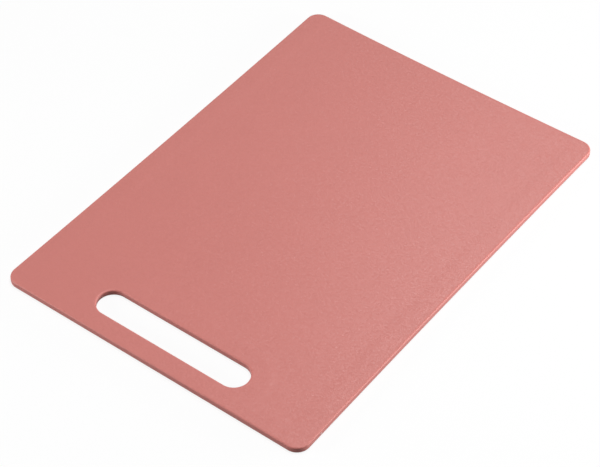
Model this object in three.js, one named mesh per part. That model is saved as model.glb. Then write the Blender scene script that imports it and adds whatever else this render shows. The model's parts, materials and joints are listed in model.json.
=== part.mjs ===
// Plastic cutting board: one moulded slab with a rounded rim and a hand slot.
// Millimetres, +Z up. The origin is at the centre of the underside, the length runs along Y,
// and the hand slot lies at the -Y end. Both faces are alike, so either can be cut on.

import * as THREE from "three";

// Driving dimensions
const BOARD_LENGTH = 350; // along Y
const BOARD_WIDTH = 250; // along X
const BOARD_THICKNESS = 5;
const CORNER_RADIUS = 10; // corners of the outline, seen from above
const EDGE_ROUND = 1.2; // round on every edge, at the outline and at the slot, on both faces
const SLOT_LENGTH = 125; // along X, over the half-round ends
const SLOT_WIDTH = 22; // along Y, between the straight sides
const GRIP_BAR = 15.4; // plastic left between the slot and the end of the board

// Smoothness of the curves
const ARC_STEPS = 20; // along each corner and each slot end
const ROUND_STEPS = 5; // across each edge round

const QUARTER_TURN = Math.PI / 2;

const pinkPlastic = new THREE.MeshStandardMaterial({
  color: 0xc3746c,
  roughness: 0.4,
  metalness: 0,
});

// Outline of the board seen from above: four corner arcs, with straight sides between them.
function boardOutline() {
  const cornerX = BOARD_WIDTH / 2 - CORNER_RADIUS;
  const cornerY = BOARD_LENGTH / 2 - CORNER_RADIUS;
  const cornerCentres = [
    [cornerX, cornerY],
    [-cornerX, cornerY],
    [-cornerX, -cornerY],
    [cornerX, -cornerY],
  ];
  const outline = new THREE.Shape();
  cornerCentres.forEach(([x, y], corner) => {
    const start = corner * QUARTER_TURN;
    outline.absarc(x, y, CORNER_RADIUS, start, start + QUARTER_TURN);
  });
  outline.closePath();
  return outline;
}

// Hand slot seen from above: a half-round end on each side, with straight sides between them.
function slotOutline() {
  const endRadius = SLOT_WIDTH / 2;
  const endX = SLOT_LENGTH / 2 - endRadius;
  const slotY = GRIP_BAR + endRadius - BOARD_LENGTH / 2;
  const outline = new THREE.Path();
  outline.absarc(endX, slotY, endRadius, -QUARTER_TURN, QUARTER_TURN);
  outline.absarc(-endX, slotY, endRadius, QUARTER_TURN, 3 * QUARTER_TURN);
  outline.closePath();
  return outline;
}

// The slab is drawn up from its outline, and a quarter-round rim runs unbroken round the outline
// and round the slot on both faces. The rim is cut into the outline, so the sizes above are the
// widest size of the board and the narrowest size of the slot.
function boardSlab() {
  const outline = boardOutline();
  outline.holes.push(slotOutline());
  const slab = new THREE.ExtrudeGeometry(outline, {
    depth: BOARD_THICKNESS - 2 * EDGE_ROUND,
    curveSegments: ARC_STEPS / 2, // an arc gets two steps for each of these
    bevelThickness: EDGE_ROUND,
    bevelSize: EDGE_ROUND,
    bevelOffset: -EDGE_ROUND,
    bevelSegments: ROUND_STEPS,
  });
  slab.translate(0, 0, EDGE_ROUND);
  return slab;
}

const board = new THREE.Mesh(boardSlab(), pinkPlastic);
board.name = "board";

const cuttingBoard = new THREE.Group();
cuttingBoard.add(board);

export default cuttingBoard;
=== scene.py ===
"""Plastic cutting board with a hand slot: the moulded slab, its pink finish and a plain white stage."""

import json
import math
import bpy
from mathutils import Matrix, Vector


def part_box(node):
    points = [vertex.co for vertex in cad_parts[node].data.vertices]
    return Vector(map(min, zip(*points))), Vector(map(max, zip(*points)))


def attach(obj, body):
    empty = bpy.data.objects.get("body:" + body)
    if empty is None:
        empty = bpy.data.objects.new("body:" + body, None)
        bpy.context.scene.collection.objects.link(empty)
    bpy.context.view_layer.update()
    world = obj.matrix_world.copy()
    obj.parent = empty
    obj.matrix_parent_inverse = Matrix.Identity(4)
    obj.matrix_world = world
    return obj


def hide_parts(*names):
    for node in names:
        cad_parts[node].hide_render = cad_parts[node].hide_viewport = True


bl_info = {
    "name": "Plastic cutting board",
    "version": (1, 0, 0),
    "blender": (4, 5, 0),
    "location": "3D View > Sidebar > Cutting board",
    "description": "Builds a moulded plastic cutting board with its finish, and a white stage for it",
    "category": "Add Mesh",
}

from typing import NamedTuple

import bpy
import numpy as np
from bpy.props import FloatProperty, FloatVectorProperty, PointerProperty
from bpy.types import Operator, Panel, PropertyGroup
from mathutils import Matrix, Vector

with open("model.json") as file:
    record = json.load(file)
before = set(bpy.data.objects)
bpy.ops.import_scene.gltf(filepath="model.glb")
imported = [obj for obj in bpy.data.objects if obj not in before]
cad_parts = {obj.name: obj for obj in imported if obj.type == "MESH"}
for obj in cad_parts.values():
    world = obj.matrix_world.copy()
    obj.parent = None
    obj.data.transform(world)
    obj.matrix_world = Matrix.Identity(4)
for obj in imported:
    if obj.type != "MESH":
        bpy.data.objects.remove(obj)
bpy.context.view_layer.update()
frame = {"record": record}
BOARD_LOW, BOARD_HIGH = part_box("board")
HANGING_FACE = next(mount for mount in frame["record"]["mounts"] if mount["name"] == "hanging_face")

MILLIMETRE = 0.001
PICTURE_WIDTH = 600  # pixels of the finished picture, for the lens
SENSOR_WIDTH = 36.0  # millimetres
FLOOR_HALF = 4.0  # metres from the middle of the floor to its sides
FLOOR_GAP = 0.1 * MILLIMETRE  # from the floor up to the board
WHITE = (1.0, 1.0, 1.0, 1.0)
NOISE_MIDDLE = 0.5
MIDDLE_GREY = (NOISE_MIDDLE, NOISE_MIDDLE, NOISE_MIDDLE)
CLOUD_SHARE = 0.6  # of the wandering of the pigment, and the grain has the rest
GATE_REACH = 1.3  # where the gate's oval ends, in half sizes of the scar
GATE_FADE = 0.6  # width of the oval's soft edge, in the same measure
PLASTIC_IOR = 1.49
GRAIN_ATTRIBUTE = "grain"


# Sizes, colours and lamps that a user would change

class BoardShape(PropertyGroup):
    """Sizes of the moulded slab that its bounding box doesn't give."""

    corner_radius: FloatProperty(
        name="Corner radius", description="Radius of the four corners, seen from above",
        default=10 * MILLIMETRE, unit="LENGTH")
    edge_round: FloatProperty(
        name="Edge round", description="Quarter-round on every edge, at the outline and at the slot",
        default=1.2 * MILLIMETRE, unit="LENGTH")
    slot_length: FloatProperty(
        name="Slot length", description="Length of the hand slot over its round ends",
        default=125 * MILLIMETRE, unit="LENGTH")
    slot_width: FloatProperty(
        name="Slot width", description="Width of the hand slot between its straight sides",
        default=22 * MILLIMETRE, unit="LENGTH")
    grip_bar: FloatProperty(
        name="Grip bar", description="Plastic between the slot and the end of the board",
        default=HANGING_FACE["pos_m"][1] - BOARD_LOW.y, unit="LENGTH")
    side_draw: FloatProperty(
        name="Side draw", description="How far each long side has shrunk in, at its middle",
        default=0.94 * MILLIMETRE, unit="LENGTH")
    far_end_draw: FloatProperty(
        name="Far end draw", description="How far the end away from the slot has shrunk in, at its middle",
        default=1.38 * MILLIMETRE, unit="LENGTH")
    slot_end_draw: FloatProperty(
        name="Slot end draw", description="How far the end beside the slot has shrunk in, at its middle",
        default=0.15 * MILLIMETRE, unit="LENGTH")
    parting_ridge: FloatProperty(
        name="Parting ridge", description="Height of the fine line round the wall, where the mould parted",
        default=0.05 * MILLIMETRE, unit="LENGTH")
    sink_depth: FloatProperty(
        name="Sink depth", description="How far each face has shrunk in, inside its border",
        default=0.1 * MILLIMETRE, unit="LENGTH")
    sink_border: FloatProperty(
        name="Sink border", description="Width of the border, to the middle of its slope",
        default=16 * MILLIMETRE, unit="LENGTH")
    sink_ramp: FloatProperty(
        name="Sink ramp", description="Width of the soft slope from the border to the sunk face",
        default=7.5 * MILLIMETRE, unit="LENGTH")
    gate_distance: FloatProperty(
        name="Gate distance", description="From the handle end to the gate scar, along the long wall",
        default=22.5 * MILLIMETRE, unit="LENGTH")
    gate_length: FloatProperty(
        name="Gate length", description="Length of the scar where the plastic entered the mould",
        default=2.6 * MILLIMETRE, unit="LENGTH")
    gate_height: FloatProperty(
        name="Gate height", description="Height of the gate scar, across the wall",
        default=1.6 * MILLIMETRE, unit="LENGTH")
    gate_stub: FloatProperty(
        name="Gate stub", description="How far the trimmed gate stands out of the wall",
        default=0.12 * MILLIMETRE, unit="LENGTH")


class PlasticFinish(PropertyGroup):
    """Colours, gloss and grain of the plastic."""

    colour: FloatVectorProperty(
        name="Colour", description="Dusty pink of the plastic",
        subtype="COLOR", size=3, min=0, max=1, default=(0.547, 0.173, 0.15))
    gate_colour: FloatVectorProperty(
        name="Gate colour", description="Paler plastic where the gate was trimmed",
        subtype="COLOR", size=3, min=0, max=1, default=(0.62, 0.40, 0.38))
    mottle: FloatProperty(
        name="Mottle", description="How far the pigment's colour wanders",
        subtype="FACTOR", min=0, max=1, default=0.04)
    cloud_size: FloatProperty(
        name="Cloud size", description="Width of one cloud of the wandering pigment",
        default=35 * MILLIMETRE, unit="LENGTH")
    face_roughness: FloatProperty(
        name="Face roughness", description="Roughness of the grained faces",
        subtype="FACTOR", min=0, max=1, default=0.34)
    rim_roughness: FloatProperty(
        name="Rim roughness", description="Roughness of the edges and walls",
        subtype="FACTOR", min=0, max=1, default=0.5)
    roughness_swing: FloatProperty(
        name="Roughness swing", description="How far the roughness changes from grain to grain",
        subtype="FACTOR", min=0, max=1, default=0.16)
    gate_roughness: FloatProperty(
        name="Gate roughness", description="Roughness that the trimmed gate adds",
        subtype="FACTOR", min=0, max=1, default=0.3)
    grain_size: FloatProperty(
        name="Grain size", description="Width of one soft lump of the moulded grain",
        default=2.0 * MILLIMETRE, unit="LENGTH")
    grain_depth: FloatProperty(
        name="Grain depth", description="Height of the soft lumps",
        default=0.06 * MILLIMETRE, unit="LENGTH")
    grain_fade: FloatProperty(
        name="Grain fade", description="Distance from a rim at which the grain has its full depth",
        default=1.2 * MILLIMETRE, unit="LENGTH")
    facet_size: FloatProperty(
        name="Facet size", description="Width of one small facet of the moulded grain",
        default=1.6 * MILLIMETRE, unit="LENGTH")
    facet_lean: FloatProperty(
        name="Facet lean", description="How far the small facets lean over, each its own way",
        default=0.28)
    rim_grain: FloatProperty(
        name="Rim grain", description="Share of the grain that is left on the edges and walls",
        subtype="FACTOR", min=0, max=1, default=0.1)


class StageSettings(PropertyGroup):
    """Camera, lamps and surroundings."""

    camera_azimuth: FloatProperty(
        name="Camera azimuth", description="Turn of the camera round the board, from its handle end",
        default=math.radians(37.071), subtype="ANGLE")
    camera_elevation: FloatProperty(
        name="Camera elevation", description="Height of the camera above the horizon",
        default=math.radians(45.714), subtype="ANGLE")
    camera_roll: FloatProperty(
        name="Camera roll", description="Tilt of the camera about its own line of sight",
        default=math.radians(0.101), subtype="ANGLE")
    camera_distance: FloatProperty(
        name="Camera distance", description="From the camera to the point that it looks at",
        default=1.4987, unit="LENGTH")
    camera_target: FloatVectorProperty(
        name="Camera target", description="Point on the floor that the camera looks at",
        default=(0.00614, -0.01813, 0.0), size=3, subtype="TRANSLATION")
    focal_pixels: FloatProperty(
        name="Focal length in pixels", description="Focal length, in pixels of the finished picture",
        default=2173.8)
    world_light: FloatProperty(
        name="World light", description="Strength of the even light from all round", default=0.01)
    lamp_strength: FloatProperty(
        name="Lamp strength", description="Scales the power of all the lamps", default=1.0)
    floor_white: FloatProperty(
        name="Floor white", description="Share of plain white in the floor as the camera sees it",
        subtype="FACTOR", min=0, max=1, default=0.88)
    floor_grey: FloatProperty(
        name="Floor grey", description="Brightness of the rest of the floor, which takes the shadow",
        subtype="FACTOR", min=0, max=1, default=0.95)
    floor_bounce: FloatProperty(
        name="Floor bounce", description="Share of the light that the floor throws back on the board",
        subtype="FACTOR", min=0, max=1, default=0.1)


class SoftLamp(NamedTuple):
    """A soft rectangular lamp that faces the board.

    Angles are in degrees, lengths in metres and power in watts.
    """

    name: str
    azimuth: float
    elevation: float
    distance: float
    width: float
    height: float
    power: float


# The camera's own side stays dark, so that the walls and the rounds turn from light to dark towards it
LAMPS = (
    SoftLamp("overhead_softbox", azimuth=114, elevation=81, distance=1.39,
             width=0.58, height=0.58, power=14.2),
    SoftLamp("back_softbox", azimuth=201, elevation=52.5, distance=2.2,
             width=0.42, height=0.8, power=5.75),
    SoftLamp("left_softbox", azimuth=-40, elevation=12.5, distance=1.32,
             width=0.46, height=0.4, power=9.6),
    SoftLamp("right_strip", azimuth=126, elevation=6, distance=1.07,
             width=0.8, height=0.2, power=12.6),
)


# Shapes

def rounded_loop(turns, half_x, half_y, radius):
    """Point and outward normal on a rounded rectangle about the origin, at a number of turns from 0 to 4.

    Each whole turn is one corner arc, in its first half, and the straight side after it, in its second.
    Point = corner centre, slid towards the next corner centre, plus radius times normal.
    A slot with half-round ends is the case where radius is half the width.
    """
    corner = np.floor(turns).astype(int)
    share = turns - corner
    angle = (corner + np.minimum(2 * share, 1)) * math.pi / 2
    normal = np.stack([np.cos(angle), np.sin(angle)], axis=-1)
    signs = np.array([[1, 1], [-1, 1], [-1, -1], [1, -1]])
    centres = signs * np.array([half_x - radius, half_y - radius])
    here = centres[corner % 4]
    following = centres[(corner + 1) % 4]
    slide = np.maximum(2 * share - 1, 0)[..., None]
    return here + (following - here) * slide + radius * normal, normal


def rounded_distance(points, half_x, half_y, radius):
    """Distance of points from a rounded rectangle about the origin, below 0 inside it.

    Length of what lies beyond the corner centres, plus the overlap inside, less the radius.
    """
    beyond = np.abs(points) - np.array([half_x - radius, half_y - radius])
    outside = np.linalg.norm(np.maximum(beyond, 0), axis=-1)
    return outside + np.minimum(beyond.max(axis=-1), 0) - radius


def smooth_step(value, low, high):
    """0 below low, 1 above high, and 3s^2 - 2s^3 between them."""
    share = np.clip((value - low) / (high - low), 0, 1)
    return share * share * (3 - 2 * share)


class BoardOutlines:
    """The board's outline and its slot, seen from above, matched by direction from the slot's centre."""

    ARC_STEPS = 16
    SIDE_STEPS = 24
    GATE_STEPS = 24
    SEARCH_STEPS = 40000
    LEAST_ANGLE = 0.0006  # radians between neighbours

    def __init__(self, shape):
        self.shape = shape
        self.half_x = (BOARD_HIGH.x - BOARD_LOW.x) / 2
        self.half_y = (BOARD_HIGH.y - BOARD_LOW.y) / 2
        slot_radius = shape.slot_width / 2
        self.board = (self.half_x, self.half_y, shape.corner_radius)
        self.slot = (shape.slot_length / 2, slot_radius, slot_radius)
        self.slot_centre = np.array([0, BOARD_LOW.y + shape.grip_bar + slot_radius])
        self.gate_y = BOARD_LOW.y + shape.gate_distance

    def directions(self):
        """Angles about the slot's centre: of even steps on both outlines, and close ones at the gate."""
        steps = [np.linspace(0, 0.5, self.ARC_STEPS, endpoint=False),
                 np.linspace(0.5, 1, self.SIDE_STEPS, endpoint=False)]
        turns = (np.arange(4)[:, None] + np.concatenate(steps)).ravel()
        gate_y = self.gate_y + np.linspace(-1, 1, self.GATE_STEPS) * self.shape.gate_length
        gate = np.stack([np.full(self.GATE_STEPS, self.half_x), gate_y], axis=-1)
        seen = np.concatenate([
            rounded_loop(turns, *self.board)[0] - self.slot_centre,
            rounded_loop(turns, *self.slot)[0],
            gate - self.slot_centre,
        ])
        angles = np.sort(np.arctan2(seen[:, 1], seen[:, 0]))
        return angles[np.diff(angles, append=angles[0] + 2 * math.pi) > self.LEAST_ANGLE]

    def along(self, angles, outline, centre):
        """Points and normals of an outline at given angles about the slot's centre, from a fine table."""
        table = np.linspace(0, 4, self.SEARCH_STEPS, endpoint=False)
        offset = rounded_loop(table, *outline)[0] - (self.slot_centre - centre)
        table_angles = np.unwrap(np.arctan2(offset[:, 1], offset[:, 0]))
        wrapped = table_angles[0] + np.mod(angles - table_angles[0], 2 * math.pi)
        points, normals = rounded_loop(np.interp(wrapped, table_angles, table), *outline)
        return points + centre, normals

    def drawn_in(self, plan):
        """Points of the outer rim, seen from above, after the sides have shrunk in towards their middles.

        With x and y as shares of the half sizes, x loses draw x (1 - y^2), and y loses draw y (1 - x^2).
        """
        shape = self.shape
        half = np.array([self.half_x, self.half_y])
        x, y = np.moveaxis(plan / half, -1, 0)
        end_draw = np.where(y > 0, shape.far_end_draw, shape.slot_end_draw)
        return plan - np.stack([shape.side_draw * x * (1 - y * y), end_draw * y * (1 - x * x)], axis=-1)

    def gate_lift(self, plan, height, thickness):
        """How far the gate's stub stands out at points of the outer rim: a soft oval on the long wall."""
        shape = self.shape
        along = (plan[..., 1] - self.gate_y) / (shape.gate_length / 2)
        up = (height - thickness / 2) / (shape.gate_height / 2)
        stub = smooth_step(GATE_REACH - np.hypot(along, up), 0, GATE_FADE)
        return np.where(plan[..., 0] > self.half_x - shape.edge_round, shape.gate_stub * stub, 0)

    def sink(self, plan):
        """How far a face has sunk at points seen from above: in full beyond the border of each outline."""
        shape = self.shape
        low = shape.sink_border - shape.sink_ramp / 2
        high = shape.sink_border + shape.sink_ramp / 2
        from_edge = -rounded_distance(plan, *self.board)
        from_slot = rounded_distance(plan - self.slot_centre, *self.slot)
        return shape.sink_depth * smooth_step(from_edge, low, high) * smooth_step(from_slot, low, high)


def rim_section(shape, thickness):
    """Section of the rim from the top face to the underside, as insets and heights.

    A quarter circle, an upright wall and a quarter circle. A fine ridge of bell-curve section stands out
    at half height, where the mould parts. Its crest reaches the outline, and the wall lies its height
    inside that. The wall's steps are a mix of even ones and cubed ones, which crowd at the ridge.
    """
    round_steps = 8
    wall_steps = 18
    even_share = 0.2
    ridge_width = 0.12 * MILLIMETRE
    turn = np.linspace(0, math.pi / 2, round_steps + 1)
    round_inset = shape.edge_round * (1 - np.sin(turn))
    round_height = thickness / 2 - shape.edge_round * (1 - np.cos(turn))
    spread = np.linspace(1, -1, wall_steps + 1)[1:-1]
    crowded = even_share * spread + (1 - even_share) * spread**3
    wall_height = crowded * (thickness / 2 - shape.edge_round)
    inset = np.concatenate([round_inset, np.zeros_like(spread), round_inset[::-1]])
    height = np.concatenate([round_height, wall_height, -round_height[::-1]])
    ridge = shape.parting_ridge * np.exp(-((height / ridge_width) ** 2))
    return inset + shape.parting_ridge - ridge, height + thickness / 2


def board_surface(shape, grain_fade):
    """The whole board as one grid, closed both ways like a ring, with the grain's share at each point.

    Across: directions round the slot. Down: the outer rim, the underside in to the slot, the slot's rim,
    and the top face out to the outline. Rims are the rim section set square to each outline, and the
    outer one carries the gate's stub and is drawn in. Faces run straight between the rims, less the sink.
    The grain grows from 0 on the rims to 1 on the faces, within a given distance of the nearer rim.
    """
    face_steps = 72
    thickness = BOARD_HIGH.z - BOARD_LOW.z
    outlines = BoardOutlines(shape)
    angles = outlines.directions()
    edge, edge_normal = outlines.along(angles, outlines.board, np.zeros(2))
    slot, slot_normal = outlines.along(angles, outlines.slot, outlines.slot_centre)
    inset, height = rim_section(shape, thickness)
    outer = edge[:, None] - edge_normal[:, None] * inset[:, None]
    outer[..., 0] += outlines.gate_lift(outer, height, thickness)
    outer = outlines.drawn_in(outer)
    inner = slot[:, None] + slot_normal[:, None] * inset[::-1, None]

    share = smooth_step(np.linspace(0, 1, face_steps + 1)[1:-1], 0, 1)[:, None]
    under = outer[:, -1:] + (inner[:, :1] - outer[:, -1:]) * share
    top = inner[:, -1:] + (outer[:, :1] - inner[:, -1:]) * share
    across = len(angles)
    levels = [np.tile(height, (across, 1)), outlines.sink(under),
              np.tile(height[::-1], (across, 1)), thickness - outlines.sink(top)]
    plan = np.concatenate([outer, under, inner, top], axis=1)
    level = np.concatenate(levels, axis=1) + BOARD_LOW.z
    width = np.linalg.norm(outer[:, :1] - inner[:, -1:], axis=-1)
    on_face = smooth_step(width * np.minimum(share, 1 - share)[:, 0], 0, grain_fade)
    on_rim = np.zeros((across, len(height)))
    grain = np.concatenate([on_rim, on_face, on_rim, on_face], axis=1)
    return np.concatenate([plan, level[..., None]], axis=2), grain


def ring_mesh(name, points, grain):
    """A smooth mesh from a grid of points that is closed in both directions, with its faces pointing out.

    The share of the grain at each point becomes its grain attribute.
    """
    across, down = points.shape[:2]
    here = np.arange(across * down).reshape(across, down)
    below = np.roll(here, -1, axis=1)
    beside = np.roll(here, -1, axis=0)
    opposite = np.roll(beside, -1, axis=1)
    quads = np.stack([here, below, opposite, beside], axis=-1).reshape(-1, 4)
    mesh = bpy.data.meshes.new(name)
    mesh.from_pydata(points.reshape(-1, 3).tolist(), [], quads.tolist())
    mesh.shade_smooth()
    mesh.attributes.new(GRAIN_ATTRIBUTE, "FLOAT", "POINT").data.foreach_set("value", grain.ravel())
    mesh.update()
    return mesh


# Shader maths

class Wire:
    """A shader socket that takes part in Python expressions. Each operator adds one Math node."""

    def __init__(self, sketch, socket):
        self.sketch = sketch
        self.socket = socket

    def math(self, operation, first, second=0.0):
        node = self.sketch.node("ShaderNodeMath", {"operation": operation}, {0: first, 1: second})
        return self.sketch.wire(node)

    def __add__(self, other):
        return self.math("ADD", self, other)

    def __radd__(self, other):
        return self.math("ADD", other, self)

    def __sub__(self, other):
        return self.math("SUBTRACT", self, other)

    def __rsub__(self, other):
        return self.math("SUBTRACT", other, self)

    def __mul__(self, other):
        return self.math("MULTIPLY", self, other)

    def __rmul__(self, other):
        return self.math("MULTIPLY", other, self)

    def __truediv__(self, other):
        return self.math("DIVIDE", self, other)

    def largest(self, other):
        return self.math("MAXIMUM", self, other)


class Sketch:
    """A node tree that is drawn from Python."""

    def __init__(self, tree):
        self.tree = tree
        tree.nodes.clear()

    def node(self, kind, settings=None, sockets=None):
        """Adds one node: its settings are set first, then the values or links of its sockets."""
        made = self.tree.nodes.new(kind)
        for name, value in (settings or {}).items():
            setattr(made, name, value)
        for name, value in (sockets or {}).items():
            if isinstance(value, Wire):
                self.tree.links.new(value.socket, made.inputs[name])
            else:
                made.inputs[name].default_value = value
        return made

    def wire(self, node, output=0):
        return Wire(self, node.outputs[output])

    def smooth(self, value, low, high):
        """0 at low, 1 at high, with a soft S between them."""
        node = self.node(
            "ShaderNodeMapRange", {"interpolation_type": "SMOOTHSTEP"},
            {"Value": value, "From Min": low, "From Max": high})
        return self.wire(node)

    def noise(self, place, size, detail, crispness, output="Fac"):
        """Soft noise from 0 to 1, with lumps of about a given size in metres, and finer ones on them."""
        node = self.node(
            "ShaderNodeTexNoise", None,
            {"Vector": place, "Scale": 1 / size, "Detail": detail, "Roughness": crispness})
        return self.wire(node, output)

    def vector(self, operation, first, second=(0, 0, 0)):
        """Vector maths. A number that is wired in stands for a vector of three alike."""
        node = self.node("ShaderNodeVectorMath", {"operation": operation}, {0: first, 1: second})
        return self.wire(node)

    def mix_colour(self, share, first, second):
        node = self.node(
            "ShaderNodeMix", {"data_type": "RGBA"}, {"Factor": share, "A": first, "B": second})
        return self.wire(node, "Result")


def tinted(colour, brightness):
    """A colour made lighter or darker, as four numbers."""
    return tuple(min(channel * brightness, 1.0) for channel in colour) + (1.0,)


def pink_plastic(finish, shape):
    """Dusty pink plastic: finely grained faces, smooth rims, a wandering pigment and a pale trimmed gate.

    The grain is soft lumps with small facets on them, each leaning its own way.
    """
    material = bpy.data.materials.new("pink_plastic")
    material.use_nodes = True
    sketch = Sketch(material.node_tree)
    place = sketch.wire(sketch.node("ShaderNodeTexCoord"), "Object")
    parts = sketch.node("ShaderNodeSeparateXYZ", None, {"Vector": place})
    x, y, z = (sketch.wire(parts, axis) for axis in "XYZ")

    on_face = sketch.wire(sketch.node("ShaderNodeAttribute", {"attribute_name": GRAIN_ATTRIBUTE}), "Fac")
    grained = finish.rim_grain + (1 - finish.rim_grain) * on_face

    along = (y - (BOARD_LOW.y + shape.gate_distance)) / (shape.gate_length / 2)
    up = (z - (BOARD_LOW.z + BOARD_HIGH.z) / 2) / (shape.gate_height / 2)
    # The distance is squared, so the pale oval has a tighter edge than the stub
    oval = GATE_REACH - (along * along + up * up)
    on_wall = sketch.smooth(x, BOARD_HIGH.x - shape.edge_round, BOARD_HIGH.x - shape.edge_round / 2)
    gate = sketch.smooth(oval, 0.0, GATE_FADE) * on_wall

    clouds = sketch.noise(place, finish.cloud_size, detail=3.0, crispness=0.55)
    grain = sketch.noise(place, finish.grain_size, detail=2.5, crispness=0.65)
    tone = CLOUD_SHARE * clouds + (1 - CLOUD_SHARE) * grain
    pigment = sketch.mix_colour(
        tone, tinted(finish.colour, 1 - finish.mottle), tinted(finish.colour, 1 + finish.mottle))
    colour = sketch.mix_colour(gate, pigment, tinted(finish.gate_colour, 1.0))

    height = (grain - NOISE_MIDDLE) * grained
    matte = finish.rim_roughness + (finish.face_roughness - finish.rim_roughness) * on_face
    roughness = matte + finish.roughness_swing * height + finish.gate_roughness * gate
    lumps = sketch.node(
        "ShaderNodeBump", None, {"Height": height, "Strength": 1.0, "Distance": finish.grain_depth})
    facets = sketch.noise(place, finish.facet_size, detail=2.0, crispness=0.6, output="Color")
    either_way = sketch.vector("SUBTRACT", facets, MIDDLE_GREY)
    lean = sketch.vector("MULTIPLY", either_way, finish.facet_lean * grained)
    normal = sketch.vector("NORMALIZE", sketch.vector("ADD", sketch.wire(lumps), lean))
    plastic = sketch.node("ShaderNodeBsdfPrincipled", None, {
        "Base Color": colour, "Roughness": roughness, "IOR": PLASTIC_IOR, "Normal": normal})
    sketch.node("ShaderNodeOutputMaterial", None, {"Surface": sketch.wire(plastic)})
    return material


def seen_directly(sketch):
    """1 for the rays that show a background: the camera's own, and those that gloss or glass sends on."""
    path = sketch.node("ShaderNodeLightPath")
    camera = sketch.wire(path, "Is Camera Ray")
    mirror = sketch.wire(path, "Is Glossy Ray")
    return camera.largest(mirror).largest(sketch.wire(path, "Is Transmission Ray"))


def white_floor(settings):
    """Pale floor that looks white, keeps a soft shadow and throws little light back."""
    material = bpy.data.materials.new("white_floor")
    material.use_nodes = True
    sketch = Sketch(material.node_tree)

    def matte(grey):
        return sketch.wire(sketch.node("ShaderNodeBsdfDiffuse", None, {"Color": tinted(WHITE[:3], grey)}))

    white = sketch.wire(sketch.node("ShaderNodeEmission", None, {"Color": WHITE, "Strength": 1.0}))
    pale = sketch.node("ShaderNodeMixShader", None, {
        0: settings.floor_white, 1: matte(settings.floor_grey), 2: white})
    mixed = sketch.node("ShaderNodeMixShader", None, {
        0: seen_directly(sketch), 1: matte(settings.floor_bounce), 2: sketch.wire(pale)})
    sketch.node("ShaderNodeOutputMaterial", None, {"Surface": sketch.wire(mixed)})
    return material


# Operators

class BOARD_OT_mould(Operator):
    """Moulds the board: the slab with its slot, rims, parting line and gate, in pink plastic"""

    bl_idname = "cutting_board.mould"
    bl_label = "Mould board"

    def execute(self, context):
        shape = context.scene.board_shape
        finish = context.scene.plastic_finish
        mesh = ring_mesh("moulded_board", *board_surface(shape, finish.grain_fade))
        mesh.materials.append(pink_plastic(finish, shape))
        piece = bpy.data.objects.new("moulded_board", mesh)
        context.scene.collection.objects.link(piece)
        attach(piece, "root")
        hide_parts("board")
        return {"FINISHED"}


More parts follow.
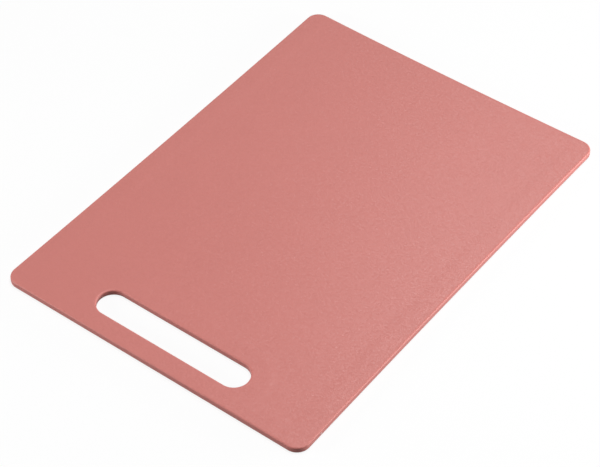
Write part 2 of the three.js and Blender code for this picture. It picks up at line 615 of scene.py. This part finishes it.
class BOARD_OT_stage(Operator):
    """Sets the white floor, the soft lamps, the even world light and the camera"""

    bl_idname = "cutting_board.stage"
    bl_label = "Set stage"

    def execute(self, context):
        settings = context.scene.stage_settings
        self.add_floor(context, settings)
        self.add_world(context, settings)
        for lamp in LAMPS:
            self.add_lamp(context, lamp, settings.lamp_strength)
        self.add_camera(context, settings)
        context.scene.view_settings.view_transform = "Standard"
        return {"FINISHED"}

    def add_floor(self, context, settings):
        half = FLOOR_HALF
        level = BOARD_LOW.z - FLOOR_GAP
        corners = [(-half, -half, level), (half, -half, level), (half, half, level), (-half, half, level)]
        mesh = bpy.data.meshes.new("floor")
        mesh.from_pydata(corners, [], [(0, 1, 2, 3)])
        mesh.materials.append(white_floor(settings))
        floor = bpy.data.objects.new("floor", mesh)
        context.scene.collection.objects.link(floor)

    def add_world(self, context, settings):
        world = bpy.data.worlds.new("white_surround")
        world.use_nodes = True
        context.scene.world = world
        sketch = Sketch(world.node_tree)
        strength = settings.world_light + (1 - settings.world_light) * seen_directly(sketch)
        light = sketch.node("ShaderNodeBackground", None, {"Color": WHITE, "Strength": strength})
        sketch.node("ShaderNodeOutputWorld", None, {"Surface": sketch.wire(light)})

    def add_lamp(self, context, lamp, strength):
        """One lamp, at its azimuth, elevation and distance from the origin, which it faces."""
        light = bpy.data.lights.new(lamp.name, "AREA")
        light.shape = "RECTANGLE"
        light.size = lamp.width
        light.size_y = lamp.height
        light.energy = lamp.power * strength
        holder = bpy.data.objects.new(lamp.name, light)
        back = direction(math.radians(lamp.azimuth), math.radians(lamp.elevation))
        holder.location = back * lamp.distance
        holder.rotation_euler = (-back).to_track_quat("-Z", "Y").to_euler()
        context.scene.collection.objects.link(holder)

    def add_camera(self, context, settings):
        """The camera looks at its target from its azimuth, elevation and distance, tilted by its roll."""
        lens = bpy.data.cameras.new("camera")
        lens.sensor_width = SENSOR_WIDTH
        lens.lens = settings.focal_pixels / PICTURE_WIDTH * SENSOR_WIDTH
        camera = bpy.data.objects.new("camera", lens)
        back = direction(settings.camera_azimuth, settings.camera_elevation)
        right = Vector((math.cos(settings.camera_azimuth), math.sin(settings.camera_azimuth), 0))
        level = Matrix((right, back.cross(right), back)).transposed().to_4x4()
        place = Vector(settings.camera_target) + back * settings.camera_distance
        tilt = Matrix.Rotation(settings.camera_roll, 4, "Z")
        camera.matrix_world = Matrix.Translation(place) @ level @ tilt
        context.scene.collection.objects.link(camera)
        context.scene.camera = camera


def direction(azimuth, elevation):
    """Unit vector towards an azimuth, from the handle end towards +X, and an elevation, in radians."""
    flat = math.cos(elevation)
    return Vector((math.sin(azimuth) * flat, -math.cos(azimuth) * flat, math.sin(elevation)))


class BOARD_PT_panel(Panel):
    """Sizes, finish and stage of the cutting board"""

    bl_idname = "BOARD_PT_panel"
    bl_label = "Cutting board"
    bl_space_type = "VIEW_3D"
    bl_region_type = "UI"
    bl_category = "Cutting board"

    def draw(self, context):
        for group, operator in (("board_shape", BOARD_OT_mould), ("plastic_finish", None),
                                ("stage_settings", BOARD_OT_stage)):
            box = self.layout.box()
            settings = getattr(context.scene, group)
            for name in settings.__annotations__:
                box.prop(settings, name)
            if operator:
                box.operator(operator.bl_idname)


CLASSES = (BoardShape, PlasticFinish, StageSettings, BOARD_OT_mould, BOARD_OT_stage, BOARD_PT_panel)


def register():
    for cls in CLASSES:
        bpy.utils.register_class(cls)
    bpy.types.Scene.board_shape = PointerProperty(type=BoardShape)
    bpy.types.Scene.plastic_finish = PointerProperty(type=PlasticFinish)
    bpy.types.Scene.stage_settings = PointerProperty(type=StageSettings)


def unregister():
    del bpy.types.Scene.stage_settings
    del bpy.types.Scene.plastic_finish
    del bpy.types.Scene.board_shape
    for cls in reversed(CLASSES):
        bpy.utils.unregister_class(cls)


def main():
    register()
    bpy.ops.cutting_board.mould()
    bpy.ops.cutting_board.stage()


if __name__ == "__main__":
    main()
